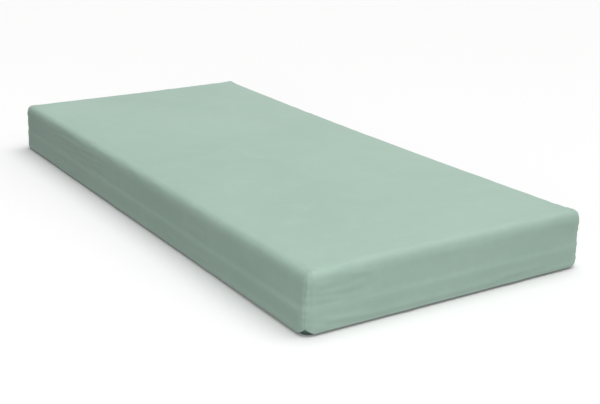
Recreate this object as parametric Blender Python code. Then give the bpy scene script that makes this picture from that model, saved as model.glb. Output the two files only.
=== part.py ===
"""Pressure relief mattress for a hospital bed, as an assembly of its separate pieces.

Metres, +Z up. X runs across the bed, Y along it (head at +Y), and Z is the height.
The origin is the centre of the underside. Every layer is the same rounded outline drawn
further in, so each piece is a stack of outlines, each with its inset and its height.
"""

import math

import bmesh
import bpy
from mathutils import Matrix, Vector

# Overall size of the covered mattress
WIDTH = 0.880
LENGTH = 1.980
HEIGHT = 0.164
CORNER_RADIUS = 0.030
TOP_RADIUS = 0.026
CORNER_STEPS = 6
EDGE_STEPS = 3

# Gap kept between pieces that touch
GAP = 0.0004

# Top cover and its waterfall flap
COVER_THICK = 0.0020
FLAP_THICK = 0.0012
FLAP_TOP = 0.060
HEM_HEIGHT = 0.006
NOTCH_HEIGHT = 0.025
LIP_DEPTH = 0.0045

# Each flap ends a little short of the middle of its corner, in degrees of the corner's arc
FLAP_SPLIT = 44.1

# Zip, measured inwards from the cover's outer face
TAPE_INSET = 0.0049
TAPE_THICK = 0.0012
UPPER_TAPE = (0.0383, 0.0622)
LOWER_TAPE = (0.0100, 0.0317)
UPPER_COIL = (0.0366, 0.0380)
LOWER_COIL = (0.0320, 0.0334)
ZIP_MIDDLE = 0.0350

# Slider and pull
PLATE_THICK = 0.0010
SLIDER_LENGTH = 0.011
SLIDER_HEIGHT = 0.010
POST_HEIGHT = 0.0024
PARKED_Y = 0.900
STUD_RADIUS = 0.0012
STUD_LENGTH = 0.0019
PULL_THICK = 0.0011
PULL_EYE_RADIUS = 0.0017
PULL_HEAD_RADIUS = 0.0034
PULL_LENGTH = 0.0215
PULL_TIP_RADIUS = 0.0027
PULL_HEAD_STEPS = 16

# End fittings of the zip: (length along Y, height) and the height of the middle
END_THICK = 0.0012
END_Y = PARKED_Y + 0.013
PIN_SIZE = (0.0040, 0.0150)
PIN_MIDDLE = 0.0428
BOX_SIZE = (0.0090, 0.0110)
BOX_MIDDLE = 0.0291

# Care label behind the foot flap
LABEL_SIZE = (0.0450, 0.0006, 0.0405)
LABEL_X = -0.200
LABEL_BEHIND = 0.0030
LABEL_MIDDLE = 0.0395

# Base cover tray
BASE_INSET = 0.0065
BASE_THICK = 0.0013
BASE_RIM = 0.026
BASE_EDGE_RADIUS = 0.006

# Fire barrier liner
LINER_INSET = 0.0068
LINER_THICK = 0.0012
LINER_BOTTOM = 0.050
LINER_TOP_RADIUS = 0.020

# Foam core
CORE_INSET = 0.0085
CORE_BOTTOM = 0.0018
CORE_TOP = 0.1600
CORE_TOP_RADIUS = 0.019
CORE_BOTTOM_RADIUS = 0.005
SLAB_TOP = 0.0520
BOLSTER_WIDTH = 0.070
INSERT_TOP = 0.1000
ZONE_ENDS = (-0.9815, -0.5600, -0.1200, 0.4700, 0.9815)
ZONE_NAMES = ("heel_insert", "thigh_insert", "torso_insert", "head_insert")

# Cuts in the foam
CUT_WIDTH = 0.003
CASTLE_DEPTH = 0.040
CASTLES_ACROSS = 6
CASTLES_ALONG = 16
PROFILE_CUT_WIDTH = 0.008
PROFILE_CUT_DEPTH = 0.025
PROFILE_CUT_PLACES = (-0.62, -0.52, -0.42, -0.06, 0.04, 0.14, 0.24)

HALF_WIDTH = WIDTH / 2
HALF_LENGTH = LENGTH / 2
CORNER_X = HALF_WIDTH - CORNER_RADIUS
CORNER_Y = HALF_LENGTH - CORNER_RADIUS
CORNERS = ((1, -1, -90), (1, 1, 0), (-1, 1, 90), (-1, -1, 180))


def clear_scene():
    for old in list(bpy.data.objects):
        bpy.data.objects.remove(old, do_unlink=True)


def material(name, color, roughness, metallic=0.0):
    mat = bpy.data.materials.new(name)
    mat.use_nodes = True
    shader = mat.node_tree.nodes["Principled BSDF"]
    shader.inputs["Base Color"].default_value = (*color, 1.0)
    shader.inputs["Roughness"].default_value = roughness
    shader.inputs["Metallic"].default_value = metallic
    return mat


def face_outwards(bm):
    bmesh.ops.recalc_face_normals(bm, faces=bm.faces)
    if bm.calc_volume(signed=True) < 0:
        bmesh.ops.reverse_faces(bm, faces=bm.faces)


def add_object(name, bm, mat, smooth=True):
    face_outwards(bm)
    mesh = bpy.data.meshes.new(name)
    bm.to_mesh(mesh)
    bm.free()
    if smooth:
        mesh.shade_smooth()
        mesh.set_sharp_from_angle(angle=math.radians(40))
    mesh.materials.append(mat)
    obj = bpy.data.objects.new(name, mesh)
    bpy.context.collection.objects.link(obj)
    return obj


def hang_on(obj, pivot_name, place):
    """Parent an object to an empty that stands on its joint's axis."""
    pivot = bpy.data.objects.get(pivot_name)
    if pivot is None:
        pivot = bpy.data.objects.new(pivot_name, None)
        pivot.location = place
        pivot.empty_display_size = 0.05
        bpy.context.collection.objects.link(pivot)
    obj.parent = pivot
    obj.matrix_parent_inverse = Matrix.Translation(-Vector(place))


def corner_point(corner, angle, inset):
    """A point on one corner's arc; the angle is in degrees, counter-clockwise from +X."""
    side_x, side_y, _ = CORNERS[corner]
    radius = CORNER_RADIUS - inset
    turn = math.radians(angle)
    return (
        side_x * CORNER_X + radius * math.cos(turn),
        side_y * CORNER_Y + radius * math.sin(turn),
    )


def outline(inset):
    """The rounded outline of the mattress, drawn in by inset, counter-clockwise from above."""
    points = []
    for corner, (_, _, first) in enumerate(CORNERS):
        for step in range(CORNER_STEPS + 1):
            points.append(corner_point(corner, first + 90 * step / CORNER_STEPS, inset))
    return points


def ring_of(bm, inset, height):
    return [bm.verts.new((x, y, height)) for x, y in outline(inset)]


def join_rings(bm, rings):
    """A wall of quads between each ring of points and the next."""
    for first, second in zip(rings, rings[1:]):
        for i in range(len(first)):
            bm.faces.new((first[i - 1], first[i], second[i], second[i - 1]))


def loft(rings, capped=True):
    """A stack of outlines, each given as (inset, height): capped, or joined back to its start."""
    bm = bmesh.new()
    made = [ring_of(bm, inset, height) for inset, height in rings]
    if capped:
        bm.faces.new(made[0])
        bm.faces.new(made[-1])
    else:
        made.append(made[0])
    join_rings(bm, made)
    return bm


def rounded_edge(inset, height, radius, steps, upwards=True):
    """Outline rings over a rounded edge, from the wall to the flat face, at that face's height."""
    rings = []
    sign = 1 if upwards else -1
    for step in range(steps + 1):
        turn = math.radians(90 * step / steps)
        rise = radius * (1 - math.sin(turn))
        rings.append((inset + radius * (1 - math.cos(turn)), height - sign * rise))
    return rings


def band(name, inset, thick, heights, mat):
    """A closed strip that runs round the whole mattress."""
    low, high = heights
    rings = [(inset, low), (inset, high), (inset + thick, high), (inset + thick, low)]
    return add_object(name, loft(rings, capped=False), mat)


def core_block(low, high, heights, mat, name):
    """A foam block: the core's rounded envelope cut down to its own box."""
    rings = rounded_edge(CORE_INSET, CORE_BOTTOM, CORE_BOTTOM_RADIUS, 2, upwards=False)[::-1]
    rings += rounded_edge(CORE_INSET, CORE_TOP, CORE_TOP_RADIUS, EDGE_STEPS)
    bm = loft(rings)
    cuts = [
        ((low[0], 0, 0), (-1, 0, 0)),
        ((high[0], 0, 0), (1, 0, 0)),
        ((0, low[1], 0), (0, -1, 0)),
        ((0, high[1], 0), (0, 1, 0)),
        ((0, 0, heights[0]), (0, 0, -1)),
        ((0, 0, heights[1]), (0, 0, 1)),
    ]
    for place, normal in cuts:
        parts = bm.verts[:] + bm.edges[:] + bm.faces[:]
        bmesh.ops.bisect_plane(
            bm, geom=parts, dist=1e-6, plane_co=place, plane_no=normal, clear_outer=True
        )
        open_edges = [edge for edge in bm.edges if edge.is_boundary]
        if open_edges:
            bmesh.ops.holes_fill(bm, edges=open_edges, sides=0)
    return add_object(name, bm, mat)


def box_bmesh(boxes):
    """Boxes given as (centre, size), in one mesh."""
    bm = bmesh.new()
    for centre, size in boxes:
        place = Matrix.Translation(centre) @ Matrix.Diagonal((*size, 1.0))
        bmesh.ops.create_cube(bm, size=1.0, matrix=place)
    return bm


def cut_with(obj, name, boxes):
    cutter = add_object(name, box_bmesh(boxes), obj.data.materials[0], smooth=False)
    cutter.hide_render = True
    cutter.display_type = "WIRE"
    cut = obj.modifiers.new(name, "BOOLEAN")
    cut.operation = "DIFFERENCE"
    cut.solver = "EXACT"
    cut.object = cutter


def make_covers(cover_mat, liner_mat, base_mat):
    """Each cover runs from the middle of its outer face, round its rim, to its inner face."""
    rim = FLAP_TOP + GAP
    outer = rounded_edge(0, HEIGHT, TOP_RADIUS, EDGE_STEPS)
    lip = [(0, rim), (LIP_DEPTH, rim), (LIP_DEPTH, rim + COVER_THICK), (COVER_THICK, rim + COVER_THICK)]
    inner = rounded_edge(
        COVER_THICK, HEIGHT - COVER_THICK, TOP_RADIUS - COVER_THICK, EDGE_STEPS
    )
    top_cover = add_object("top_cover", loft(outer[::-1] + lip + inner), cover_mat)

    top = HEIGHT - COVER_THICK - GAP
    within = LINER_INSET + LINER_THICK
    outer = rounded_edge(LINER_INSET, top, LINER_TOP_RADIUS, EDGE_STEPS)
    lip = [(LINER_INSET, LINER_BOTTOM), (within, LINER_BOTTOM)]
    inner = rounded_edge(within, top - LINER_THICK, LINER_TOP_RADIUS - LINER_THICK, EDGE_STEPS)
    liner = add_object("fire_barrier_liner", loft(outer[::-1] + lip + inner), liner_mat)

    within = BASE_INSET + BASE_THICK
    outer = rounded_edge(BASE_INSET, 0, BASE_EDGE_RADIUS, 2, upwards=False)
    lip = [(BASE_INSET, BASE_RIM), (within, BASE_RIM)]
    inner = rounded_edge(within, BASE_THICK, BASE_EDGE_RADIUS - BASE_THICK, 2, upwards=False)
    add_object("base_cover", loft(outer[::-1] + lip + inner), base_mat)
    return top_cover, liner


def make_flap(name, first_corner, mat):
    """One side's hanging flap, from the middle of one corner to the middle of the next."""
    second_corner = (first_corner + 1) % 4
    half = CORNER_STEPS // 2
    stations = []
    for step in range(half + 1):
        turn = FLAP_SPLIT * (1 - step / half)
        angle = CORNERS[first_corner][2] + 90 - turn
        stations.append((first_corner, angle, turn / FLAP_SPLIT))
    for step in range(half + 1):
        turn = FLAP_SPLIT * step / half
        angle = CORNERS[second_corner][2] + turn
        stations.append((second_corner, angle, turn / FLAP_SPLIT))
    bm = bmesh.new()
    columns = []
    for corner, angle, lift in stations:
        hem = HEM_HEIGHT + NOTCH_HEIGHT * lift**2
        column = []
        for inset, height in (
            (0, FLAP_TOP), (FLAP_THICK, FLAP_TOP), (FLAP_THICK, hem), (0, hem)
        ):
            x, y = corner_point(corner, angle, inset)
            column.append(bm.verts.new((x, y, height)))
        columns.append(column)
    for before, after in zip(columns, columns[1:]):
        for i in range(4):
            bm.faces.new((before[i - 1], before[i], after[i], after[i - 1]))
    bm.faces.new(columns[0])
    bm.faces.new(columns[-1])
    return add_object(name, bm, mat)


def make_slider(mat):
    """Two plates joined by a post, as an H in section, with a stud for the pull."""
    slot = TAPE_THICK + 2 * GAP
    middle = HALF_WIDTH - TAPE_INSET - TAPE_THICK / 2
    plate = slot / 2 + PLATE_THICK
    half = SLIDER_HEIGHT / 2
    post = POST_HEIGHT / 2
    wide, narrow = plate, slot / 2
    right = [(wide, -half), (wide, half), (narrow, half), (narrow, post)]
    left = [(-narrow, post), (-narrow, half), (-wide, half), (-wide, -half)]
    foot = [(-narrow, -half), (-narrow, -post), (narrow, -post), (narrow, -half)]
    section = right + left + foot
    bm = bmesh.new()
    start = PARKED_Y - SLIDER_LENGTH / 2
    verts = [bm.verts.new((middle + x, start, ZIP_MIDDLE + z)) for x, z in section]
    face = bm.faces.new(verts)
    grown = bmesh.ops.extrude_face_region(bm, geom=[face])["geom"]
    moved = [item for item in grown if isinstance(item, bmesh.types.BMVert)]
    bmesh.ops.translate(bm, verts=moved, vec=(0, SLIDER_LENGTH, 0))
    slider = add_object("zip_slider", bm, mat)

    stud = bmesh.new()
    sink = PLATE_THICK / 2
    centre = (middle + plate + (STUD_LENGTH - sink) / 2, PARKED_Y, ZIP_MIDDLE)
    place = Matrix.Translation(centre) @ Matrix.Rotation(math.radians(90), 4, "Y")
    bmesh.ops.create_cone(
        stud,
        cap_ends=True,
        segments=16,
        radius1=STUD_RADIUS,
        radius2=STUD_RADIUS,
        depth=STUD_LENGTH + sink,
        matrix=place,
    )
    tool = add_object("slider_stud_tool", stud, mat)
    tool.hide_render = True
    tool.display_type = "WIRE"
    join = slider.modifiers.new("stud", "BOOLEAN")
    join.operation = "UNION"
    join.solver = "EXACT"
    join.object = tool
    return slider, middle + plate


def make_pull(plate_face, mat):
    """A flat tab that hangs from the slider's stud by an eye and swings beside the wall."""
    near = plate_face + GAP
    outer, eye = [], []
    for step in range(PULL_HEAD_STEPS):
        turn = 2 * math.pi * step / PULL_HEAD_STEPS
        side, rise = math.cos(turn), math.sin(turn)
        if rise >= -1e-6:
            outer.append((PULL_HEAD_RADIUS * side, PULL_HEAD_RADIUS * rise))
        else:
            drop = -(PULL_LENGTH - PULL_TIP_RADIUS)
            outer.append((PULL_TIP_RADIUS * side, drop + PULL_TIP_RADIUS * rise))
        eye.append((PULL_EYE_RADIUS * side, PULL_EYE_RADIUS * rise))
    bm = bmesh.new()
    loops = []
    for depth in (near, near + PULL_THICK):
        for points in (outer, eye):
            verts = [
                bm.verts.new((depth, PARKED_Y + side, ZIP_MIDDLE + rise)) for side, rise in points
            ]
            loops.append(verts)
    near_outer, near_eye, far_outer, far_eye = loops
    for first, second in (
        (near_outer, near_eye), (far_outer, far_eye), (near_outer, far_outer), (near_eye, far_eye)
    ):
        for i in range(PULL_HEAD_STEPS):
            bm.faces.new((first[i - 1], first[i], second[i], second[i - 1]))
    return add_object("zip_pull", bm, mat)


def make_zip(tape_mat, coil_mat, metal_mat):
    upper = [
        band("zip_upper_tape", TAPE_INSET, TAPE_THICK, UPPER_TAPE, tape_mat),
        band("zip_upper_coil", TAPE_INSET, TAPE_THICK, UPPER_COIL, coil_mat),
    ]
    band("zip_lower_tape", TAPE_INSET, TAPE_THICK, LOWER_TAPE, tape_mat)
    band("zip_lower_coil", TAPE_INSET, TAPE_THICK, LOWER_COIL, coil_mat)

    # The end fittings are flat plates on the tapes' outer faces, beyond the parked slider
    face = HALF_WIDTH - TAPE_INSET + GAP
    x = face + END_THICK / 2
    pin = box_bmesh([((x, END_Y, PIN_MIDDLE), (END_THICK, *PIN_SIZE))])
    upper.append(add_object("zip_insertion_pin", pin, metal_mat, smooth=False))
    box = box_bmesh([((x, END_Y, BOX_MIDDLE), (END_THICK, *BOX_SIZE))])
    add_object("zip_retainer_box", box, metal_mat, smooth=False)
    return upper


def make_care_label(mat):
    """A blank label that hangs behind the flap at the foot end, left of the middle."""
    place = (LABEL_X, LABEL_BEHIND - HALF_LENGTH, LABEL_MIDDLE)
    label = box_bmesh([(place, LABEL_SIZE)])
    return add_object("care_label", label, mat, smooth=False)


def make_core(slab_mat, bolster_mat, insert_mats, visco_mat):
    width = HALF_WIDTH
    length = HALF_LENGTH
    inner = HALF_WIDTH - CORE_INSET - BOLSTER_WIDTH
    slab = core_block((-width, -length), (width, length), (0, SLAB_TOP), slab_mat, "base_foam_slab")
    depth = PROFILE_CUT_DEPTH
    cut_with(slab, "profile_cutters", [
        ((0, y, CORE_BOTTOM), (WIDTH, PROFILE_CUT_WIDTH, 2 * depth)) for y in PROFILE_CUT_PLACES
    ])
    heights = (SLAB_TOP + GAP, HEIGHT)
    core_block((-width, -length), (-inner, length), heights, bolster_mat, "side_bolster_left")
    core_block((inner, -length), (width, length), heights, bolster_mat, "side_bolster_right")

    inside = inner - GAP
    heights = (SLAB_TOP + GAP, INSERT_TOP)
    for i, (name, mat) in enumerate(zip(ZONE_NAMES, insert_mats)):
        low = (-inside, ZONE_ENDS[i] + GAP / 2)
        high = (inside, ZONE_ENDS[i + 1] - GAP / 2)
        core_block(low, high, heights, mat, name)

    heights = (INSERT_TOP + GAP, HEIGHT)
    visco = core_block((-inside, -length), (inside, length), heights, visco_mat, "visco_top_layer")
    pitch_x = 2 * inside / CASTLES_ACROSS
    pitch_y = 2 * (HALF_LENGTH - CORE_INSET) / CASTLES_ALONG
    size = (CUT_WIDTH, 2 * LENGTH, 2 * CASTLE_DEPTH)
    cut_with(visco, "lengthwise_cutters", [
        ((pitch_x * (i - CASTLES_ACROSS / 2), 0, CORE_TOP), size) for i in range(1, CASTLES_ACROSS)
    ])
    size = (2 * WIDTH, CUT_WIDTH, 2 * CASTLE_DEPTH)
    cut_with(visco, "crosswise_cutters", [
        ((0, pitch_y * (i - CASTLES_ALONG / 2), CORE_TOP), size) for i in range(1, CASTLES_ALONG)
    ])


def main():
    clear_scene()
    cover_mat = material("cover_fabric", (0.41, 0.56, 0.49), 0.55)
    base_mat = material("base_fabric", (0.05, 0.09, 0.07), 0.60)
    liner_mat = material("fire_barrier", (0.78, 0.77, 0.72), 0.90)
    tape_mat = material("zip_tape", (0.16, 0.24, 0.20), 0.85)
    coil_mat = material("zip_coil", (0.12, 0.18, 0.15), 0.45)
    metal_mat = material("zip_metal", (0.60, 0.60, 0.58), 0.30, 1.0)
    label_mat = material("label_cloth", (0.86, 0.86, 0.84), 0.80)
    slab_mat = material("base_foam", (0.22, 0.30, 0.42), 0.95)
    bolster_mat = material("bolster_foam", (0.62, 0.62, 0.58), 0.95)
    visco_mat = material("visco_foam", (0.85, 0.80, 0.52), 0.95)
    insert_colors = ((0.80, 0.45, 0.50), (0.45, 0.62, 0.75), (0.55, 0.70, 0.50), (0.45, 0.62, 0.75))
    insert_mats = [
        material(f"{name}_foam", color, 0.95) for name, color in zip(ZONE_NAMES, insert_colors)
    ]

    make_core(slab_mat, bolster_mat, insert_mats, visco_mat)
    on_cover = list(make_covers(cover_mat, liner_mat, base_mat))
    on_cover += make_zip(tape_mat, coil_mat, metal_mat)
    on_cover.append(make_care_label(label_mat))
    for piece in on_cover:
        hang_on(piece, "cover_pivot", (0, 0, FLAP_TOP))

    flaps = (
        ("flap_right", 0, (HALF_WIDTH, 0, FLAP_TOP)),
        ("flap_head", 1, (0, HALF_LENGTH, FLAP_TOP)),
        ("flap_left", 2, (-HALF_WIDTH, 0, FLAP_TOP)),
        ("flap_foot", 3, (0, -HALF_LENGTH, FLAP_TOP)),
    )
    for name, corner, place in flaps:
        hang_on(make_flap(name, corner, cover_mat), f"{name}_pivot", place)

    slider, plate_face = make_slider(metal_mat)
    pull = make_pull(plate_face, metal_mat)
    stud_place = (plate_face, PARKED_Y, ZIP_MIDDLE)
    hang_on(slider, "slider_pivot", stud_place)
    hang_on(pull, "pull_pivot", stud_place)


main()
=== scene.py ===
import math
import bmesh
import bpy
from mathutils import Matrix, Vector, noise


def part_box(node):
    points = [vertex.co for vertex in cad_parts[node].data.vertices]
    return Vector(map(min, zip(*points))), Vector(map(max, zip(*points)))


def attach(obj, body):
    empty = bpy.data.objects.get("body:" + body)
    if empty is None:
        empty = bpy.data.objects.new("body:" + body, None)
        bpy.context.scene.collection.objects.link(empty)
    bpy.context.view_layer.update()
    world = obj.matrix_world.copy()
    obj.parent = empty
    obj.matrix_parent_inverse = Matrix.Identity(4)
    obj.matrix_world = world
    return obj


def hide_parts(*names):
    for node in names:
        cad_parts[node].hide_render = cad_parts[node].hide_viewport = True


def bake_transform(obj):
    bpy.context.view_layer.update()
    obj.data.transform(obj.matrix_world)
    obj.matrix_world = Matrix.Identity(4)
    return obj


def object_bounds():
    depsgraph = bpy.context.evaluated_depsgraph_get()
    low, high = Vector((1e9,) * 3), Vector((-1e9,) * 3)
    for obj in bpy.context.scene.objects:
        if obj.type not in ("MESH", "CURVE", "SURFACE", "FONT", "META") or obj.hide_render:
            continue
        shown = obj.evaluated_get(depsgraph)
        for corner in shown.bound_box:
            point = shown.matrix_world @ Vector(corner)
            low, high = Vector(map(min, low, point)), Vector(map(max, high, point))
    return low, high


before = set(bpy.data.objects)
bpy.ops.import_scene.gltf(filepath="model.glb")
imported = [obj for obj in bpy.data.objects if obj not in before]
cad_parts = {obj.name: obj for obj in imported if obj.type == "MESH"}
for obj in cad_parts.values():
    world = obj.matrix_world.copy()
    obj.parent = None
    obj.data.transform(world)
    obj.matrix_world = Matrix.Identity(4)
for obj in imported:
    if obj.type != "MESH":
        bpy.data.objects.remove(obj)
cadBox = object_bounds()

halfWidth, halfLength, fullHeight = cadBox[1]
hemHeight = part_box("flap_left")[0][2]
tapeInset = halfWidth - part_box("zip_upper_tape")[1][0]


def smooth(low, high, value):
    t = min(max((value - low) / (high - low), 0.0), 1.0)
    return t * t * (3 - 2 * t)


def wave(x, y, z, seed=0.0):
    return noise.noise(Vector((x + seed * 7.31, y - seed * 3.17, z + seed * 1.93)))


def makePiece(name, bm, mat, sharp=38):
    mesh = bpy.data.meshes.new(name)
    bm.normal_update()
    bm.to_mesh(mesh)
    bm.free()
    mesh.shade_smooth()
    mesh.set_sharp_from_angle(angle=math.radians(sharp))
    mesh.materials.append(mat)
    piece = bpy.data.objects.new(name, mesh)
    bpy.context.collection.objects.link(piece)
    return piece


def applyModifiers(piece, sharp=38):
    graph = bpy.context.evaluated_depsgraph_get()
    mesh = bpy.data.meshes.new_from_object(piece.evaluated_get(graph))
    piece.modifiers.clear()
    old = piece.data
    piece.data = mesh
    bpy.data.meshes.remove(old)
    mesh.shade_smooth()
    mesh.set_sharp_from_angle(angle=math.radians(sharp))
    return piece


def thicken(piece, thick, offset=-1.0, sharp=38):
    wall = piece.modifiers.new("wall", "SOLIDIFY")
    wall.thickness = thick
    wall.offset = offset
    wall.use_even_offset = False
    return applyModifiers(piece, sharp)


def cubeOf(bm, low, high):
    low, high = Vector(low), Vector(high)
    place = Matrix.Translation((low + high) / 2) @ Matrix.Diagonal((*(high - low), 1))
    return bmesh.ops.create_cube(bm, size=1.0, matrix=place)["verts"]


def bevelEdges(bm, edges, radius, segments):
    return bmesh.ops.bevel(
        bm, geom=edges, offset=radius, offset_type="OFFSET", segments=segments,
        profile=0.5, affect="EDGES", material=-1, clamp_overlap=False,
    )


def sliceAt(bm, axis, places):
    normal = Vector((0, 0, 0))
    normal[axis] = 1
    for place in places:
        geometry = bm.verts[:] + bm.edges[:] + bm.faces[:]
        bmesh.ops.bisect_plane(bm, geom=geometry, dist=1e-5, plane_co=normal * place, plane_no=normal)


def steps(low, high, gap):
    count = max(1, round((high - low) / gap))
    return [low + (high - low) * i / count for i in range(count + 1)]


# wraps a socket, so that shader maths reads as Python
class Wire:

    def __init__(self, shade, socket):
        self.shade = shade
        self.socket = socket

    def __add__(self, other):
        return self.shade.maths("ADD", self, other)

    def __radd__(self, other):
        return self.shade.maths("ADD", other, self)

    def __sub__(self, other):
        return self.shade.maths("SUBTRACT", self, other)

    def __rsub__(self, other):
        return self.shade.maths("SUBTRACT", other, self)

    def __mul__(self, other):
        return self.shade.maths("MULTIPLY", self, other)

    def __rmul__(self, other):
        return self.shade.maths("MULTIPLY", other, self)


class Shade:
    def __init__(self, name, roughness=0.5, **fixed):
        self.mat = bpy.data.materials.new(name)
        self.mat.use_nodes = True
        self.tree = self.mat.node_tree
        self.skin = self.tree.nodes["Principled BSDF"]
        self.skin.inputs["Roughness"].default_value = roughness
        for key, value in fixed.items():
            self.skin.inputs[key.replace("_", " ")].default_value = value
        self.place = self.node("ShaderNodeTexCoord", out="Object")

    def node(self, kind, settings=None, inputs=None, out=0):
        made = self.tree.nodes.new(kind)
        for key, value in (settings or {}).items():
            setattr(made, key, value)
        for key, value in (inputs or {}).items():
            if isinstance(value, Wire):
                self.tree.links.new(value.socket, made.inputs[key])
            else:
                made.inputs[key].default_value = value
        return Wire(self, made.outputs[out])

    def maths(self, operation, first, second, clamp=False):
        settings = {"operation": operation, "use_clamp": clamp}
        return self.node("ShaderNodeMath", settings, {0: first, 1: second})

    def grain(self, scale, detail=3.0, rough=0.5, stretch=None, place=None):
        place = place or self.place
        if stretch:
            place = self.node("ShaderNodeMapping", None, {"Vector": place, "Scale": stretch})
        inputs = {"Vector": place, "Scale": scale, "Detail": detail, "Roughness": rough}
        return self.node("ShaderNodeTexNoise", None, inputs)

    def cells(self, scale, feature="F1", out="Distance", stretch=None):
        place = self.place
        if stretch:
            place = self.node("ShaderNodeMapping", None, {"Vector": place, "Scale": stretch})
        inputs = {"Vector": place, "Scale": scale}
        return self.node("ShaderNodeTexVoronoi", {"feature": feature}, inputs, out)

    def span(self, value, low, high, newLow=0.0, newHigh=1.0):
        inputs = {"Value": value, "From Min": low, "From Max": high, "To Min": newLow, "To Max": newHigh}
        return self.node("ShaderNodeMapRange", None, inputs)

    def blend(self, share, first, second):
        made = self.tree.nodes.new("ShaderNodeMix")
        made.data_type = "RGBA"
        for key, value in ((0, share), (6, first), (7, second)):
            if isinstance(value, Wire):
                self.tree.links.new(value.socket, made.inputs[key])
            else:
                made.inputs[key].default_value = value if key == 0 else (*value, 1.0)
        return Wire(self, made.outputs[2])

    def bump(self, height, distance, strength=1.0, under=None):
        inputs = {"Height": height, "Distance": distance, "Strength": strength}
        if under:
            inputs["Normal"] = under
        return self.node("ShaderNodeBump", None, inputs)

    def give(self, **links):
        for key, wire in links.items():
            self.tree.links.new(wire.socket, self.skin.inputs[key.replace("_", " ")])
        return self.mat


finish = {
    "sage": (0.372, 0.513, 0.434),
    "sageDeep": (0.346, 0.484, 0.407),
    "sageWorn": (0.398, 0.537, 0.459),
    "base": (0.040, 0.070, 0.056),
    "baseLight": (0.062, 0.100, 0.082),
    "liner": (0.74, 0.72, 0.66),
    "tape": (0.120, 0.190, 0.155),
    "coil": (0.085, 0.140, 0.112),
    "label": (0.80, 0.80, 0.78),
    "thread": (0.150, 0.225, 0.185),
}


# polyurethane coating on a stretch knit: soft cloudy tone, fine knit, small creases
def coverFinish(name):
    shade = Shade(name, 0.5, Sheen_Weight=0.04, Sheen_Roughness=0.5, Specular_IOR_Level=0.24)
    clouds = shade.grain(3.2, 4.0, 0.55)
    mottle = shade.grain(38.0, 3.0, 0.6)
    speck = shade.grain(900.0, 2.0, 0.6)
    tone = clouds * 0.65 + mottle * 0.35
    color = shade.blend(shade.span(tone, 0.38, 0.62), finish["sageDeep"], finish["sage"])
    worn = shade.span(shade.grain(11.0, 5.0, 0.65), 0.52, 0.72) * 0.5
    color = shade.blend(worn, color, finish["sageWorn"])
    color = shade.blend(shade.span(speck, 0.35, 0.65, 0.0, 0.10), color, finish["sageDeep"])
    rough = shade.span(mottle, 0.3, 0.7, 0.46, 0.58)
    crinkle = shade.grain(16.0, 6.0, 0.62, stretch=(1.0, 0.55, 1.4))
    crease = shade.maths("ABSOLUTE", crinkle - 0.5, 0.0) * -2.0
    knit = shade.cells(720.0, stretch=(1.0, 0.8, 1.0))
    normal = shade.bump(crease, 0.0020, 0.30)
    normal = shade.bump(knit, 0.00012, 0.30, normal)
    return shade.give(Base_Color=color, Roughness=rough, Normal=normal)


# heavy coated nylon: a fine square weave under a dark coating
def baseFinish():
    shade = Shade("baseCoatedNylon", 0.55, Specular_IOR_Level=0.4)
    wear = shade.span(shade.grain(9.0, 5.0, 0.6), 0.42, 0.70)
    color = shade.blend(wear, finish["base"], finish["baseLight"])
    weave = shade.cells(640.0, stretch=(1.0, 1.0, 0.8))
    normal = shade.bump(1.0 - weave, 0.0004, 0.5)
    rough = shade.span(wear, 0.0, 1.0, 0.48, 0.66)
    return shade.give(Base_Color=color, Roughness=rough, Normal=normal)


# a plain weave or knit in one colour, with painted shade between the threads and a random cloudy tone
def clothFinish(name, color, scale, depth, roughness=0.85, shadow=0.75):
    shade = Shade(name, roughness, Sheen_Weight=0.15, Specular_IOR_Level=0.25)
    # shadow sets how dark the painted shade between the threads is
    dark = tuple(c * shadow for c in color)
    threads = shade.cells(scale, stretch=(1.0, 1.0, 0.7))
    clouds = shade.grain(14.0, 4.0, 0.6)
    # tone is mostly painted shade in the gaps between threads, partly random cloudy tone
    tone = shade.span(threads, 0.0, 0.7, 0.0, 0.6) * 0.6 + shade.span(clouds, 0.35, 0.65) * 0.4
    rough = shade.span(clouds, 0.3, 0.7, roughness - 0.06, roughness + 0.06)
    normal = shade.bump(1.0 - threads, depth, 0.6)
    return shade.give(Base_Color=shade.blend(tone, color, dark), Roughness=rough, Normal=normal)


# open-cell foam: fine pores with painted shade inside them, and a cloudy tone
def foamFinish(name, color):
    shade = Shade(name, 0.95, Specular_IOR_Level=0.15, Sheen_Weight=0.2)
    pores = shade.cells(420.0)
    coarse = shade.cells(150.0)
    clouds = shade.grain(7.0, 4.0, 0.6)
    # dark is the painted shade inside the pores
    dark = tuple(c * 0.62 for c in color)
    holes = shade.span(pores, 0.05, 0.55, 1.0, 0.0) * 0.55 + shade.span(coarse, 0.02, 0.20, 1.0, 0.0) * 0.45
    toned = shade.blend(shade.span(clouds, 0.35, 0.65), color, tuple(c * 0.9 for c in color))
    rough = shade.span(holes, 0.0, 1.0, 0.88, 0.98)
    normal = shade.bump(1.0 - holes, 0.0008, 0.7)
    # the pores are blended towards dark as painted shade
    return shade.give(Base_Color=shade.blend(holes * 0.7, toned, dark), Roughness=rough, Normal=normal)


# nickel-plated die casting with fine scratches
def metalFinish():
    shade = Shade("zipNickel", 0.32, Metallic=1.0)
    scratch = shade.grain(700.0, 4.0, 0.6, stretch=(1.0, 0.12, 1.0))
    dull = shade.grain(160.0, 3.0, 0.5)
    color = shade.blend(shade.span(dull, 0.4, 0.7), (0.66, 0.65, 0.62), (0.50, 0.49, 0.46))
    rough = shade.span(scratch, 0.3, 0.7, 0.24, 0.42)
    return shade.give(Base_Color=color, Roughness=rough, Normal=shade.bump(scratch, 0.00005, 0.4))


# moulded nylon of the zip's loops
def plasticFinish():
    shade = Shade("coilNylon", 0.38, Specular_IOR_Level=0.5)
    speck = shade.grain(300.0, 3.0, 0.5)
    lighter = tuple(c * 1.35 for c in finish["coil"])
    color = shade.blend(shade.span(speck, 0.35, 0.65), finish["coil"], lighter)
    return shade.give(Base_Color=color, Roughness=shade.span(speck, 0.3, 0.7, 0.32, 0.46))


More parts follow.
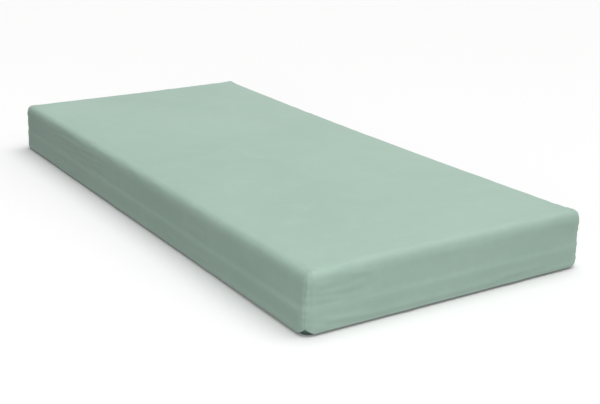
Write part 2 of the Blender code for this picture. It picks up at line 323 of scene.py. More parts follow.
coverMat = coverFinish("coverCoatedKnit")
baseMat = baseFinish()
linerMat = clothFinish("barrierKnit", finish["liner"], 520.0, 0.0005)
tapeMat = clothFinish("tapeWeave", finish["tape"], 900.0, 0.0003, 0.8, 0.6)
labelMat = clothFinish("labelSatin", finish["label"], 1100.0, 0.0001, 0.5, 0.92)
metalMat = metalFinish()
coilMat = plasticFinish()
print("finishes made")

settling = {
    "crown": 0.0045,  # how far the middle of the top stands up
    "sagLong": 0.0085,  # how far the long top edges dip at mid-length
    "sagShort": 0.0025,
    "pullLong": 0.0065,  # how far the long sides pull in at mid-length
    "pullShort": 0.0030,
    "slump": 0.0070,  # how far the corner at the left of the foot end has sunk
    "slumpReach": 0.15,
    "lean": 0.0120,  # and how far its top has been drawn in
    "still": 0.052,  # nothing below this height moves, so the zip stays straight
}


# where a point of the nominal block ends up once covers and foam have settled together
def settle(point):
    x, y, z = point
    u = min(abs(x) / halfWidth, 1.0)
    v = min(abs(y) / halfLength, 1.0)
    up = smooth(settling["still"], fullHeight, z)
    along, across = 1 - v * v, 1 - u * u
    rise = settling["crown"] * (1 - v**4) * across
    rise -= settling["sagLong"] * u**6 * along
    rise -= settling["sagShort"] * v**12 * across
    away = math.hypot(x + halfWidth, y + halfLength)
    near = math.exp(-((away / settling["slumpReach"]) ** 2))
    rise -= settling["slump"] * near
    pull = settling["pullLong"] * u**8 * along * up
    draw = settling["pullShort"] * v**16 * across * up
    lean = settling["lean"] * near * up
    return Vector((x - math.copysign(pull, x) + lean, y - math.copysign(draw, y), z + rise * up))


coverLook = {
    "cornerRadius": 0.030,
    "topRadius": 0.026,
    "thick": 0.0012,
    "gridTop": 0.018,
    "gridWall": 0.009,
    "seamFlap": 0.0665,  # height of the seam between the cover and its flaps
    "notch": 0.013,  # how far the hem opens upwards at each corner
    "hemWave": 0.0009,
    "seamRidge": 0.0016,  # how far the cloth stands up on both sides of a corner seam
    "proud": 0.0006,  # the coated fabric stands off the liner by this much
    "drag": 0.0017,
    "pucker": 0.0010,
    "seamGroove": 0.0014,
    "puckerReach": 0.012,
    "ridgeReach": 0.008,
    "grooveReach": 0.0026,
    "fan": 0.0011,
    "edgeFold": 0.0014,
    "earReach": 0.052,
    # how far each sewn corner points out
    "ears": {(1, -1): 0.0070, (1, 1): 0.0060, (-1, -1): 0.0030, (-1, 1): 0.0},
}
cornerX = halfWidth - coverLook["cornerRadius"]
cornerY = halfLength - coverLook["cornerRadius"]


def roundedBlock(bottom, top, inset, topRadius, cornerSteps, edgeSteps, closed=False):
    bm = bmesh.new()
    low = (-halfWidth + inset, -halfLength + inset, bottom)
    high = (halfWidth - inset, halfLength - inset, top)
    cubeOf(bm, low, high)
    upright = [e for e in bm.edges if abs(e.verts[0].co.z - e.verts[1].co.z) > 1e-4]
    bevelEdges(bm, upright, coverLook["cornerRadius"] - inset, cornerSteps)
    bm.normal_update()
    rim = [
        e for e in bm.edges
        if min(v.co.z for v in e.verts) > top - 1e-5 and any(abs(f.normal.z) < 0.5 for f in e.link_faces)
    ]
    bevelEdges(bm, rim, topRadius, edgeSteps)
    bm.normal_update()
    if not closed:
        bmesh.ops.delete(bm, geom=[f for f in bm.faces if f.normal.z < -0.9], context="FACES")
    return bm


def cornerOf(x, y):
    sx, sy = math.copysign(1, x), math.copysign(1, y)
    dx, dy = abs(x) - cornerX, abs(y) - cornerY
    if dx > 0 and dy > 0:
        run = (math.atan2(dy, dx) - math.pi / 4) * coverLook["cornerRadius"]
    elif dx > dy:
        run = dy - coverLook["cornerRadius"] * math.pi / 4
    else:
        run = -dx + coverLook["cornerRadius"] * math.pi / 4
    return run, sx, sy


# the sewn corners of the cover stand out a little from the rounded foam
def earOf(point):
    sx, sy = int(math.copysign(1, point.x)), int(math.copysign(1, point.y))
    tip = Vector((sx * halfWidth, sy * halfLength, fullHeight))
    near = math.exp(-(((point - tip).length / coverLook["earReach"]) ** 2))
    return Vector((sx, sy, 0.45)).normalized() * coverLook["ears"][sx, sy] * near


# small folds that are finer than the simulated cloth, measured outwards
def wrinkle(point, normal):
    look = coverLook
    x, y, z = point
    flat = smooth(0.80, 0.97, abs(normal.z))
    side = 1 - flat
    run, sx, sy = cornerOf(x, y)
    corner = sx * 2 + sy
    # broad slackness everywhere
    height = 0.0007 * wave(x * 5, y * 5, z * 5, 1) * (0.6 + 0.4 * side)
    height += 0.0008 * wave(x * 14, y * 9, z * 26, 2) * side
    # drag lines along the walls, long and nearly level
    drag = wave(x * 8, y * 6, z * 55 + 1.5 * x, 3)
    reach = smooth(0.0, 0.35, wave(x * 4, y * 2.2, 0.0, 4) + 0.14)
    wall = smooth(0.02, 0.06, z) * (1 - smooth(0.125, 0.150, z))
    height += look["drag"] * (0.5 - 2 * abs(drag)) * reach * wall * side
    # puckers beside each corner seam, and the seam's own groove
    away = abs(run - 0.004 * (1 - z / fullHeight) * sx)
    tuck = math.sin(z * 2 * math.pi / 0.021 + 2.2 * wave(z * 30, corner, 0, 5))
    tuck *= 0.6 + 0.8 * wave(z * 18, corner, 3, 6)
    height += look["pucker"] * tuck * math.exp(-away / look["puckerReach"]) * side
    height += look["seamRidge"] * math.exp(-((away / look["ridgeReach"]) ** 2)) * side
    height -= look["seamGroove"] * math.exp(-((away / look["grooveReach"]) ** 2)) * side
    # creases that run in over the top from each corner
    px, py = abs(x) - cornerX, abs(y) - cornerY
    far = math.hypot(px, py)
    turn = math.atan2(-py, -px)
    fan = math.sin(turn * 7 + 4.5 * wave(far * 16, corner * 3, turn * 1.5, 7))
    height += look["fan"] * fan * math.exp(-(((far - 0.030) / 0.040) ** 2)) * flat
    # short creases over the long and short top edges
    edge = max(abs(x) - (halfWidth - 0.045), abs(y) - (halfLength - 0.045))
    near = smooth(-0.035, 0.02, edge) * smooth(0.10, 0.145, z)
    place = y if abs(x) / halfWidth > abs(y) / halfLength else x
    fold = wave(place * 30, edge * 10, corner, 8)
    height += look["edgeFold"] * fold * near * (0.5 + wave(place * 4, corner, 2, 9))
    # the foam behind keeps folds from sinking in, and the flaps hang clear of the zip
    above = smooth(0.056, 0.080, z)
    lowest = (-look["proud"] - look["seamGroove"] * side) * above
    return max(height, lowest) + look["proud"]


cloth = {
    "frames": 20,
    "quality": 5,
    "mass": 0.25,
    "stretch": 15.0,
    "bend": 0.02,
    "slackX": 1.006,  # how much larger the fabric is cut than what it covers
    "slackY": 1.004,
    "slackZ": 1.022,
    "seamPull": 0.050,  # the sewn corner seams are this much shorter
    "unevenness": 0.0015,
    "cap": 0.0045,
    "foamInset": 0.0068,
    "foamDrop": 0.0030,
}


# what the cover is stretched over while it is simulated
def foamForm():
    bm = roundedBlock(0.010, fullHeight - cloth["foamDrop"], cloth["foamInset"], 0.020, 8, 4)
    sliceAt(bm, 0, steps(-cornerX, cornerX, 0.05))
    sliceAt(bm, 1, steps(-cornerY, cornerY, 0.05))
    for vert in bm.verts:
        vert.co = settle(vert.co)
    bmesh.ops.triangulate(bm, faces=bm.faces[:])
    form = makePiece("foamForm", bm, coverMat)
    form.modifiers.new("touch", "COLLISION")
    form.collision.thickness_outer = 0.001
    form.collision.thickness_inner = 0.2
    form.collision.cloth_friction = 5
    return form


# lets the cut fabric find its own shape over the foam; returns one place for each vertex
def drapeCover(bm, cut, pinned):
    mesh = bpy.data.meshes.new("drape")
    bm.to_mesh(mesh)
    mesh.materials.append(coverMat)
    drape = bpy.data.objects.new("drape", mesh)
    bpy.context.collection.objects.link(drape)
    drape.shape_key_add(name="fitted")
    key = drape.shape_key_add(name="cut")
    for index, place in enumerate(cut):
        key.data[index].co = place
    drape.vertex_groups.new(name="hem").add(pinned, 1.0, "REPLACE")
    form = foamForm()
    run = drape.modifiers.new("run", "CLOTH")
    fabric = run.settings
    fabric.quality = cloth["quality"]
    fabric.mass = cloth["mass"]
    fabric.tension_stiffness = fabric.compression_stiffness = cloth["stretch"]
    fabric.shear_stiffness = cloth["stretch"] / 2
    fabric.bending_stiffness = cloth["bend"]
    fabric.tension_damping = fabric.compression_damping = fabric.shear_damping = 8
    fabric.bending_damping = 0.8
    fabric.air_damping = 2
    fabric.rest_shape_key = key
    fabric.vertex_group_mass = "hem"
    fabric.pin_stiffness = 2
    run.collision_settings.collision_quality = 3
    run.collision_settings.distance_min = 0.001
    run.collision_settings.use_self_collision = False
    run.point_cache.frame_start = 1
    run.point_cache.frame_end = cloth["frames"]
    for frameNumber in range(1, cloth["frames"] + 1):
        bpy.context.scene.frame_set(frameNumber)
    graph = bpy.context.evaluated_depsgraph_get()
    done = bpy.data.meshes.new_from_object(drape.evaluated_get(graph))
    places = [vert.co.copy() for vert in done.vertices]
    for piece in (drape, form):
        bpy.data.objects.remove(piece)
    bpy.data.meshes.remove(done)
    bpy.context.scene.frame_set(1)
    return places


def limited(value, cap):
    return cap * math.tanh(value / cap)


sides = ("right", "head", "left", "foot")


def sideOf(point):
    overX, overY = abs(point.x) - cornerX, abs(point.y) - cornerY
    if overX > overY:
        return "right" if point.x > 0 else "left"
    return "head" if point.y > 0 else "foot"


def shapeCover():
    look = coverLook
    bm = roundedBlock(hemHeight, fullHeight, 0.0, look["topRadius"], 12, 5)
    sliceAt(bm, 0, steps(-cornerX, cornerX, look["gridTop"]))
    sliceAt(bm, 1, steps(-cornerY, cornerY, look["gridTop"]))
    sliceAt(bm, 2, steps(hemHeight, look["seamFlap"], look["gridWall"])[1:])
    sliceAt(bm, 2, steps(look["seamFlap"], fullHeight - look["topRadius"], look["gridWall"])[1:-1])
    bm.normal_update()
    for face in bm.faces:
        centre = face.calc_center_median()
        isFlap = centre.z < look["seamFlap"] - 0.0005
        face.material_index = 1 + sides.index(sideOf(centre)) if isFlap else 0
    arc = look["cornerRadius"] * math.pi / 4
    fitted, cut, pinned, normals, ears = [], [], [], [], []
    for index, vert in enumerate(bm.verts):
        x, y, z = vert.co
        run = abs(cornerOf(x, y)[0])
        low = 1 - min((z - hemHeight) / (look["seamFlap"] - hemHeight), 1.0)
        lift = look["notch"] * max(1 - run / arc, 0.0) ** 1.4
        lift += look["hemWave"] * (1 + wave(x * 7, y * 7, 0, 11))
        raised = Vector((0, 0, lift * low))
        grow = cloth["slackZ"] - cloth["seamPull"] * math.exp(-((run / 0.010) ** 2))
        tall = hemHeight + (z - hemHeight) * grow
        cut.append(Vector((x * cloth["slackX"], y * cloth["slackY"], tall)) + raised)
        side = 1 - smooth(0.80, 0.97, abs(vert.normal.z))
        uneven = cloth["unevenness"] * wave(x * 14, y * 9, z * 50, 2) * (0.3 + side)
        fitted.append(settle(vert.co) + raised)
        normals.append(vert.normal.copy())
        ears.append(earOf(vert.co))
        if z < hemHeight + 0.001:
            pinned.append(index)
        vert.co = fitted[-1] + vert.normal * uneven
    for vert, place, home, normal in zip(bm.verts, drapeCover(bm, cut, pinned), fitted, normals):
        moved = place - home
        outwards = moved.dot(normal)
        along = moved - normal * outwards
        if home.z < look["seamFlap"] + 0.001:
            outwards = max(outwards, 0.0)
        vert.co = home + normal * limited(outwards, cloth["cap"]) + along * 0.5
    for vert, ear in zip(bm.verts, ears):
        vert.co += ear
    return bm


def cutPiece(whole, name, number):
    part = whole.copy()
    drop = [f for f in part.faces if f.material_index != number]
    bmesh.ops.delete(part, geom=drop, context="FACES")
    for face in part.faces:
        face.material_index = 0
    return thicken(makePiece(name, part, coverMat), coverLook["thick"])


whole = shapeCover()
print("cover draped")

# one level of subdivision before the fine folds
fine = makePiece("fine", whole, coverMat)
finer = fine.modifiers.new("finer", "SUBSURF")
finer.levels = finer.render_levels = 1
applyModifiers(fine)
whole = bmesh.new()
whole.from_mesh(fine.data)
bpy.data.objects.remove(fine)
whole.normal_update()
folds = [vert.normal * wrinkle(vert.co, vert.normal) for vert in whole.verts]
for vert, fold in zip(whole.verts, folds):
    vert.co += fold

coverSkin = cutPiece(whole, "coverSkin", 0)
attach(coverSkin, "cover")
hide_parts("top_cover")

for number, side in enumerate(sides):
    strip = cutPiece(whole, side + "FlapStrip", number + 1)
    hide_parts("flap_" + side)
    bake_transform(strip)
whole.free()
print("cover and flaps made")

# the three parts below are sheets under the cover, each a lid, tray or band of the same outline
underlayers = {
    "linerThick": 0.0007,
    "linerDrop": 0.0006,  # clearance under the cover
    "linerGrid": 0.024,
    "baseThick": 0.0012,
    "baseRadius": 0.006,
    "baseGrid": 0.030,
    "rimWave": 0.0008,
}


def bandOf(low, high, inset, rows, gap):
    bm = bmesh.new()
    cubeOf(bm, (-halfWidth + inset, -halfLength + inset, low), (halfWidth - inset, halfLength - inset, high))
    upright = [e for e in bm.edges if abs(e.verts[0].co.z - e.verts[1].co.z) > 1e-4]
    bevelEdges(bm, upright, coverLook["cornerRadius"] - inset, 12)
    bm.normal_update()
    bmesh.ops.delete(bm, geom=[f for f in bm.faces if abs(f.normal.z) > 0.9], context="FACES")
    sliceAt(bm, 0, steps(-cornerX, cornerX, gap))
    sliceAt(bm, 1, steps(-cornerY, cornerY, gap))
    sliceAt(bm, 2, steps(low, high, (high - low) / rows)[1:-1])
    return bm


def makeLiner():
    low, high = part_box("fire_barrier_liner")
    inset = halfWidth - high[0]
    bm = roundedBlock(low[2], high[2] - underlayers["linerDrop"], inset, 0.020, 12, 6)
    gap = underlayers["linerGrid"]
    sliceAt(bm, 0, steps(-cornerX, cornerX, gap))
    sliceAt(bm, 1, steps(-cornerY, cornerY, gap))
    sliceAt(bm, 2, steps(low[2], high[2] - 0.020, gap)[1:-1])
    bm.normal_update()
    for vert in bm.verts:
        x, y, z = vert.co
        slack = 0.0004 * wave(x * 12, y * 12, z * 20, 21) - 0.0003
        vert.co = settle(vert.co) + vert.normal * slack
    piece = thicken(makePiece("linerSock", bm, linerMat), underlayers["linerThick"])
    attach(piece, "cover")
    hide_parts("fire_barrier_liner")
    return piece


def makeBase():
    low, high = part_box("base_cover")
    look = underlayers
    bm = roundedBlock(0.0, high[2] - low[2], halfWidth - high[0], look["baseRadius"], 12, 4)
    sliceAt(bm, 0, steps(-cornerX, cornerX, look["baseGrid"]))
    sliceAt(bm, 1, steps(-cornerY, cornerY, look["baseGrid"]))
    sliceAt(bm, 2, [0.007, 0.014])
    for vert in bm.verts:
        vert.co.z = high[2] - vert.co.z
        top = smooth(0.012, 0.026, vert.co.z)
        vert.co.z += look["rimWave"] * top * wave(vert.co.x * 6, vert.co.y * 6, 0, 31)
    bmesh.ops.reverse_faces(bm, faces=bm.faces)
    piece = thicken(makePiece("baseTray", bm, baseMat), look["baseThick"])
    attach(piece, "base")
    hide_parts("base_cover")
    return piece


makeLiner()
makeBase()
print("liner and base made")

core = {
    "bottomRadius": 0.005,
    "topRadius": 0.019,
    "edge": 0.0022,  # cut foam edges are never knife-sharp
    "grid": 0.030,
    "slack": 0.0004,
    "profileCut": (0.027, 0.004, (-0.62, -0.52, -0.42, -0.06, 0.04, 0.14, 0.24)),
    "castles": (6, 16),
    "castleCut": (0.120, 0.0015),
    "colors": {
        "base_foam_slab": (0.19, 0.27, 0.40),
        "side_bolster_left": (0.60, 0.60, 0.56),
        "side_bolster_right": (0.60, 0.60, 0.56),
        "heel_insert": (0.78, 0.42, 0.47),
        "thigh_insert": (0.42, 0.60, 0.73),
        "torso_insert": (0.52, 0.68, 0.47),
        "head_insert": (0.42, 0.60, 0.73),
        "visco_top_layer": (0.84, 0.78, 0.50),
    },
    "slots": {
        "base_foam_slab": "base_foam",
        "side_bolster_left": "bolster_foam",
        "side_bolster_right": "bolster_foam",
        "heel_insert": "heel_foam",
        "thigh_insert": "thigh_foam",
        "torso_insert": "torso_foam",
        "head_insert": "head_foam",
        "visco_top_layer": "visco_foam",
    },
}
foamMats = {}


# the rounded block that the whole core fits, before it is cut into layers
def coreBlock():
    low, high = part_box("base_foam_slab")
    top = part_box("visco_top_layer")[1][2]
    inset = halfWidth - high[0]
    bm = roundedBlock(low[2], top, inset, core["topRadius"], 12, 6, closed=True)
    bm.normal_update()
    rim = [
        e for e in bm.edges
        if max(v.co.z for v in e.verts) < low[2] + 1e-5 and any(abs(f.normal.z) < 0.5 for f in e.link_faces)
    ]
    bevelEdges(bm, rim, core["bottomRadius"], 3)
    return bm


def cutFlat(bm, axis, place, keepAbove):
    normal = Vector((0, 0, 0))
    normal[axis] = -1 if keepAbove else 1
    point = Vector((0, 0, 0))
    point[axis] = place
    geometry = bm.verts[:] + bm.edges[:] + bm.faces[:]
    cut = bmesh.ops.bisect_plane(
        bm, geom=geometry, dist=1e-6, plane_co=point, plane_no=normal, clear_outer=True,
    )
    rim = [item for item in cut["geom_cut"] if isinstance(item, bmesh.types.BMEdge)]
    bmesh.ops.holes_fill(bm, edges=rim)


def softenCuts(bm, radius, above=-1.0):
    bm.normal_update()
    edges = [
        e for e in bm.edges
        if len(e.link_faces) == 2 and e.calc_face_angle(0.0) > 0.9 and min(v.co.z for v in e.verts) > above
    ]
    bevelEdges(bm, edges, radius, 2)


# lifts the parts of a flat top that lie between the cuts
def raiseBetween(bm, top, cutsX, cutsY, half, rise):
    sliceAt(bm, 0, [c + side * half for c in cutsX for side in (-1, 1)])
    sliceAt(bm, 1, [c + side * half for c in cutsY for side in (-1, 1)])
    bm.normal_update()
    raised = []
    for face in bm.faces:
        centre = face.calc_center_median()
        inCut = any(abs(centre.x - c) < half for c in cutsX) or any(abs(centre.y - c) < half for c in cutsY)
        if face.normal.z > 0.9 and abs(centre.z - top) < 1e-4 and not inCut:
            raised.append(face)
    grown = bmesh.ops.extrude_face_region(bm, geom=raised)["geom"]
    moved = [item for item in grown if isinstance(item, bmesh.types.BMVert)]
    bmesh.ops.translate(bm, vec=(0, 0, rise), verts=moved)
    bmesh.ops.delete(bm, geom=[f for f in raised if f.is_valid], context="FACES")


def foamShape(node):
    low, high = (Vector(corner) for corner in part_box(node))
    if node == "base_foam_slab":
        bm = coreBlock()
        floorOfCut, half, places = core["profileCut"]
        cutFlat(bm, 2, floorOfCut, False)
        raiseBetween(bm, floorOfCut, (), places, half, high.z - floorOfCut)
    elif node.startswith("side_bolster"):
        bm = coreBlock()
        cutFlat(bm, 2, low.z, True)
        cutFlat(bm, 0, low.x if low.x > 0 else high.x, low.x > 0)
    elif node == "visco_top_layer":
        bm = bmesh.new()
        floorOfCut, half = core["castleCut"]
        cubeOf(bm, low, (high.x, high.y, floorOfCut))
        across, along = core["castles"]
        cutsX = [low.x + (high.x - low.x) * i / across for i in range(1, across)]
        cutsY = [low.y + (high.y - low.y) * i / along for i in range(1, along)]
        raiseBetween(bm, floorOfCut, cutsX, cutsY, half, high.z - floorOfCut)
        ends = [
            e for e in bm.edges
            if all(v.co.z > high.z - 1e-5 and abs(v.co.y) > high.y - 1e-5 for v in e.verts)
        ]
        bevelEdges(bm, ends, core["topRadius"], 5)
    else:
        bm = bmesh.new()
        cubeOf(bm, low, high)
    softenCuts(bm, core["edge"], 0.121 if node == "visco_top_layer" else -1.0)
    return bm


def makeFoam(node):
    bm = foamShape(node)
    low, high = (Vector(corner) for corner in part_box(node))
    gap = core["grid"] * (2 if node == "visco_top_layer" else 1)
    for axis in range(3):
        sliceAt(bm, axis, steps(low[axis], high[axis], gap)[1:-1])
    bm.normal_update()
    for vert in bm.verts:
        x, y, z = vert.co
        vert.co = settle(vert.co) - vert.normal * core["slack"] * (0.6 + wave(x * 30, y * 30, z * 30, 41))
    color = core["colors"][node]
    mat = foamMats.get(color) or foamFinish(core["slots"][node] + "Cells", color)
    foamMats[color] = mat
    words = node.split("_")
    piece = makePiece(words[0] + "".join(w.title() for w in words[1:]) + "Foam", bm, mat, 50)
    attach(piece, "base")
    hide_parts(node)
    return piece


for node in core["colors"]:
    makeFoam(node)
print("foam core made")

zipLook = {
    "tapeThick": 0.0009,
    "rows": 5,
    "grid": 0.045,
    "pitch": 0.0020,  # one loop of the coil to the next
    "loop": (0.0013, 0.0015, 0.0025),  # through, along, high
    "reach": 0.0004,  # how far the loops sit back over their own tape
    "guard": (0.0079, 0.0004, 0.029, 0.043),  # inset, thickness, and from what height to what height
    "stitch": (0.0005, 0.0020, 0.0005),
    "stitchPitch": 0.0034,
    "ripple": 0.0002,
}


# copies of a mesh in a straight row
def rowOf(mesh, count, step):
    piece = bpy.data.objects.new("row", mesh)
    bpy.context.collection.objects.link(piece)
    row = piece.modifiers.new("row", "ARRAY")
    row.use_relative_offset = False
    row.use_constant_offset = True
    row.constant_offset_displace = step
    row.count = count
    applyModifiers(piece)
    mesh = piece.data
    bpy.data.objects.remove(piece)
    return mesh


def tinyMesh(matrix):
    bm = bmesh.new()
    bmesh.ops.create_icosphere(bm, subdivisions=1, radius=0.5, matrix=matrix)
    mesh = bpy.data.meshes.new("tiny")
    bm.to_mesh(mesh)
    bm.free()
    return mesh


# one small shape repeated all round the outline: four straight rows and four turned corners
def repeatRound(name, mat, inset, pitch, size, heights, lean=0.0):
    radius = coverLook["cornerRadius"] - inset
    bends = round(radius * math.pi / 2 / pitch)
    shape = Matrix.Translation((radius, 0, 0)) @ Matrix.Rotation(lean, 4, "X") @ Matrix.Diagonal((*size, 1))
    bend = bmesh.new()
    first = Matrix.Rotation(math.pi / 4 / bends, 4, "Z") @ shape
    bmesh.ops.create_icosphere(bend, subdivisions=1, radius=0.5, matrix=first)
    bmesh.ops.spin(
        bend, geom=bend.verts[:] + bend.edges[:] + bend.faces[:], cent=(0, 0, 0), axis=(0, 0, 1),
        dvec=(0, 0, 0), angle=math.pi / 2 * (bends - 1) / bends, steps=bends - 1, use_duplicate=True,
    )
    bm = bmesh.new()
    for number, (sx, sy) in enumerate(((1, 1), (-1, 1), (-1, -1), (1, -1))):
        run = 2 * (cornerY if number % 2 == 0 else cornerX)
        count = round(run / pitch)
        row = rowOf(tinyMesh(shape), count, (0, run / count, 0))
        row.transform(Matrix.Translation((0, run / count / 2 - run, 0)))
        turn = bpy.data.meshes.new("turn")
        bend.to_mesh(turn)
        for height in heights:
            for mesh in (row, turn):
                place = Matrix.Translation((sx * cornerX, sy * cornerY, height))
                moved = mesh.copy()
                moved.transform(place @ Matrix.Rotation(number * math.pi / 2, 4, "Z"))
                bm.from_mesh(moved)
                bpy.data.meshes.remove(moved)
        bpy.data.meshes.remove(row)
        bpy.data.meshes.remove(turn)
    bend.free()
    return makePiece(name, bm, mat, 180)


def makeTape(name, node, body, stitchHeights):
    low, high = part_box(node)
    bm = bandOf(low[2], high[2], tapeInset, zipLook["rows"], zipLook["grid"])
    bm.normal_update()
    for vert in bm.verts:
        x, y, z = vert.co
        vert.co = vert.co + vert.normal * zipLook["ripple"] * (wave(x * 25, y * 25, z * 40, 51) - 0.5)
    piece = thicken(makePiece(name, bm, tapeMat), zipLook["tapeThick"])
    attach(piece, body)
    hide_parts(node)
    stitches = repeatRound(
        name + "Stitches", threadMat, tapeInset + 0.0001,
        zipLook["stitchPitch"], zipLook["stitch"], stitchHeights,
    )
    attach(stitches, body)
    return piece


def makeCoil(name, node, body):
    low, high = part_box(node)
    middle = (low[2] + high[2]) / 2 + (zipLook["reach"] if body == "cover" else -zipLook["reach"])
    piece = repeatRound(
        name, coilMat, tapeInset + 0.0006, zipLook["pitch"], zipLook["loop"], [middle], math.radians(8),
    )
    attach(piece, body)
    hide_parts(node)
    return piece


threadMat = clothFinish("sewingThread", finish["thread"], 1800.0, 0.0001, 0.7, 0.8)
upperTape = makeTape("upperTape", "zip_upper_tape", "cover", (0.0440, 0.0452))
lowerTape = makeTape("lowerTape", "zip_lower_tape", "base", (0.0140, 0.0236))
makeCoil("upperCoil", "zip_upper_coil", "cover")
makeCoil("lowerCoil", "zip_lower_coil", "base")


# a strip behind the zip that keeps liquids off the foam
def makeGuard():
    inset, thick, low, high = zipLook["guard"]
    bm = bandOf(low, high, inset, 3, zipLook["grid"])
    piece = thicken(makePiece("zipGuard", bm, tapeMat), thick)
    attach(piece, "base")


makeGuard()
print("zip tapes and coils made")

fitting = {
    "plate": 0.0010,
    "waist": 0.72,  # how narrow the slider is at its closed end
    "post": (0.0018, 0.0024),
    "edge": 0.00028,
    "stud": (0.0012, 0.0010),
    "studPlace": 0.900,
    "eye": 0.0017,
    "pullThick": 0.0011,
    "recess": 0.00025,
}


def bevelSharp(bm, radius, segments=2):
    bm.normal_update()
    edges = [e for e in bm.edges if len(e.link_faces) == 2 and e.calc_face_angle(0.0) > 0.6]
    bevelEdges(bm, edges, radius, segments)


def makeSlider():
    low, high = (Vector(corner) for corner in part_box("zip_slider"))
    plate = fitting["plate"]
    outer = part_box("zip_pull")[0][0] - 0.0004
    middle = (low.y + high.y) / 2
    bm = bmesh.new()
    for start in (low.x, outer - plate):
        verts = cubeOf(bm, (start, low.y, low.z), (start + plate, high.y, high.z))
        for vert in verts:
            if vert.co.y < middle:
                vert.co.z = (low.z + high.z) / 2 + (vert.co.z - (low.z + high.z) / 2) * fitting["waist"]
        linked = [e for v in verts for e in v.link_edges]
        upright = [e for e in linked if abs(e.verts[0].co.x - e.verts[1].co.x) > plate / 2]
        bevelEdges(bm, list(set(upright)), 0.0016, 3)
    halfPost = fitting["post"][1] / 2
    height = (low.z + high.z) / 2
    postLow = (low.x + plate * 0.8, middle, height - halfPost)
    postHigh = (outer - plate * 0.8, high.y - 0.0012, height + halfPost)
    cubeOf(bm, postLow, postHigh)
    turned = Matrix.Rotation(math.radians(90), 4, "Y")
    radius, grow = fitting["stud"]
    studs = ((outer - plate / 2, high.x - 0.0002, radius * 0.98), (high.x - 0.0006, high.x, radius))
    for start, end, wide in studs:
        place = Matrix.Translation(((start + end) / 2, fitting["studPlace"], height)) @ turned
        bmesh.ops.create_cone(
            bm, cap_ends=True, segments=16, radius1=wide, radius2=wide * 0.96,
            depth=end - start, matrix=place,
        )
    bevelSharp(bm, fitting["edge"])
    piece = makePiece("sliderBody", bm, metalMat, 30)
    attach(piece, "slider")
    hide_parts("zip_slider")
    return piece


def makePull():
    low, high = (Vector(corner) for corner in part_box("zip_pull"))
    head = (high.y - low.y) / 2
    centre = Vector((low.x, (low.y + high.y) / 2, high.z - head))
    turned = Matrix.Translation(centre) @ Matrix.Rotation(math.radians(90), 4, "Y")
    bm = bmesh.new()
    rings = []
    for radius in (head, fitting["eye"]):
        made = bmesh.ops.create_circle(bm, cap_ends=False, segments=24, radius=radius, matrix=turned)
        ring = made["verts"]
        rings.append([e for e in bm.edges if e.verts[0] in ring and e.verts[1] in ring])
    bmesh.ops.bridge_loops(bm, edges=rings[0] + rings[1])
    lower = [e for e in rings[0] if max(v.co.z for v in e.verts) < centre.z + 1e-5]
    for isTip in (False, True):
        grown = bmesh.ops.extrude_edge_only(bm, edges=lower)["geom"]
        lower = [item for item in grown if isinstance(item, bmesh.types.BMEdge)]
        for vert in [item for item in grown if isinstance(item, bmesh.types.BMVert)]:
            if isTip:
                curve = math.sqrt(max(1 - ((vert.co.y - centre.y) / (head * 0.83)) ** 2, 0.0))
                vert.co.z = low.z + 0.0022 * (1 - curve)
            else:
                vert.co.z = centre.z - 0.006 + (vert.co.z - centre.z) * 0.25
                vert.co.y = centre.y + (vert.co.y - centre.y) * 0.82
    bmesh.ops.recalc_face_normals(bm, faces=bm.faces)
    if sum(f.normal.x for f in bm.faces) < 0:
        bmesh.ops.reverse_faces(bm, faces=bm.faces)
    piece = thicken(makePiece("pullTab", bm, metalMat), fitting["pullThick"], 1.0, 30)
    soften = piece.modifiers.new("soften", "BEVEL")
    soften.width = fitting["edge"]
    soften.segments = 2
    soften.limit_method = "ANGLE"
    soften.angle_limit = math.radians(40)
    applyModifiers(piece, 30)
    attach(piece, "pull")
    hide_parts("zip_pull")
    return piece


# retainer box and insertion pin: small blocks with a pressed-in panel
def makeEnd(name, node, body):
    low, high = (Vector(corner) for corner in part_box(node))
    bm = bmesh.new()
    cubeOf(bm, low, high)
    bevelSharp(bm, fitting["edge"], 3)
    bm.normal_update()
    front = [f for f in bm.faces if f.normal.x > 0.99]
    bmesh.ops.inset_region(bm, faces=front, thickness=0.0006, depth=-fitting["recess"])
    piece = makePiece(name, bm, metalMat, 30)
    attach(piece, body)
    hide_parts(node)
    return piece


makeSlider()
makePull()
makeEnd("retainerBox", "zip_retainer_box", "base")
makeEnd("insertionPin", "zip_insertion_pin", "cover")
print("zip fittings made")

labelLook = {"thick": 0.0003, "curl": 0.0009, "grid": 0.004, "fold": 0.0045}


def makeLabel():
    low, high = (Vector(corner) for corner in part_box("care_label"))
    bm = bmesh.new()
    middle = (low + high) / 2
    upright = Matrix.Translation(middle) @ Matrix.Rotation(math.radians(90), 4, "X")
    place = upright @ Matrix.Diagonal((high.x - low.x, high.z - low.z, 1, 1))
    across = round((high.x - low.x) / labelLook["grid"])
    down = round((high.z - low.z) / labelLook["grid"])
    bmesh.ops.create_grid(bm, x_segments=across, y_segments=down, size=0.5, matrix=place)
    for vert in bm.verts:
        hang = smooth(high.z - labelLook["fold"], low.z, vert.co.z)
        vert.co.y -= labelLook["curl"] * hang * (0.5 + wave(vert.co.x * 40, 0, vert.co.z * 30, 61))
    piece = thicken(makePiece("careLabel", bm, labelMat), labelLook["thick"], 0.0)
    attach(piece, "cover")
    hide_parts("care_label")
    return piece


makeLabel()
print("label made")

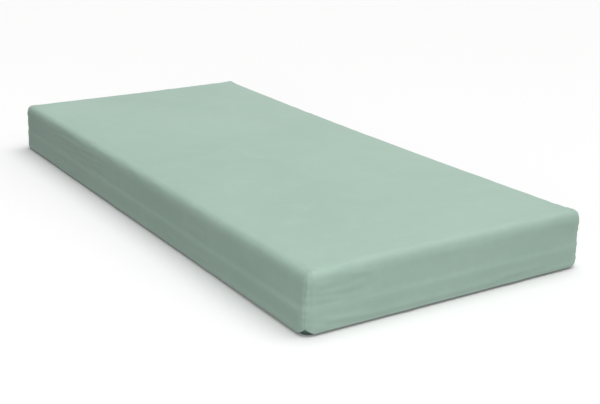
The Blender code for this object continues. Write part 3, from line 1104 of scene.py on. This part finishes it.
studio = {
    "floor": (0.94, 0.94, 0.938),
    "floorSize": 60.0,
    "sky": 0.56,
    "skyLean": 0.34,  # how much brighter the sky is towards skyFrom
    "skyFrom": (1.0, 0.0, 0.0),
    "sun": 1.53,
    "sunAngle": 50,
    "sunFrom": (0.25, 0.0, 0.97),
    "front": 53.0,
    "frontFrom": (-3.0, -3.4, 1.1),
    "frontAim": (-0.4, -0.6, 0.1),
}
floorMesh = bmesh.new()
bmesh.ops.create_grid(floorMesh, x_segments=1, y_segments=1, size=studio["floorSize"] / 2)
floorShade = Shade("paleFloor", 0.9, Specular_IOR_Level=0.1)
floorShade.skin.inputs["Base Color"].default_value = (*studio["floor"], 1)
floorPiece = makePiece("paleFloor", floorMesh, floorShade.mat)
floorPiece.visible_diffuse = False  # keeps the white floor from flooding the walls with light
floorPiece.visible_glossy = False

world = bpy.data.worlds.new("softSky")
bpy.context.scene.world = world
world.use_nodes = True
backdrop = world.node_tree.nodes["Background"]
backdrop.inputs["Color"].default_value = (1.0, 1.0, 1.0, 1)


class Sky(Shade):
    def __init__(self, tree):
        self.tree = tree
        self.place = self.node("ShaderNodeTexCoord", out="Generated")


# a soft sky that leans to one side, and plain white where the camera sees it
sky = Sky(world.node_tree)
directions = {0: sky.place, 1: studio["skyFrom"]}
lean = sky.node("ShaderNodeVectorMath", {"operation": "DOT_PRODUCT"}, directions, "Value")
seen = sky.node("ShaderNodeLightPath", out="Is Camera Ray")
glow = sky.maths("MAXIMUM", lean * studio["skyLean"] + studio["sky"], seen)
world.node_tree.links.new(glow.socket, backdrop.inputs["Strength"])


def addLight(name, kind, place, aim, power):
    light = bpy.data.lights.new(name, kind)
    light.energy = power
    lamp = bpy.data.objects.new(name, light)
    lamp.location = place
    lamp.rotation_euler = (Vector(aim) - Vector(place)).to_track_quat("-Z", "Y").to_euler()
    bpy.context.collection.objects.link(lamp)
    return light


keyLight = addLight("keyLight", "SUN", Vector(studio["sunFrom"]) * 4, (0, 0, 0), studio["sun"])
keyLight.angle = math.radians(studio["sunAngle"])
frontLight = addLight("frontLight", "AREA", studio["frontFrom"], studio["frontAim"], studio["front"])
frontLight.shape = "RECTANGLE"
frontLight.size, frontLight.size_y = (2.4, 1.6)

view = {
    "turn": -31.71, "tilt": 18.15, "roll": 0.13, "lens": 65.76,
    "distance": 3.563, "aside": -0.136, "raise": 0.016,
}
turn, tilt, roll = (math.radians(view[key]) for key in ("turn", "tilt", "roll"))
back = Vector((math.sin(turn) * math.cos(tilt), -math.cos(turn) * math.cos(tilt), math.sin(tilt)))
right = Vector((0, 0, 1)).cross(back).normalized()
up = back.cross(right)
right, up = right * math.cos(roll) + up * math.sin(roll), up * math.cos(roll) - right * math.sin(roll)
eye = -right * view["aside"] - up * view["raise"] + back * view["distance"]
lens = bpy.data.cameras.new("viewCamera")
lens.lens = view["lens"]
lens.sensor_width = 36.0
lens.clip_end = 200.0
camera = bpy.data.objects.new("viewCamera", lens)
camera.matrix_world = Matrix.Translation(eye) @ Matrix((right, up, back)).transposed().to_4x4()
bpy.context.collection.objects.link(camera)
bpy.context.scene.camera = camera
bpy.context.scene.view_settings.view_transform = "Standard"
print("studio made")
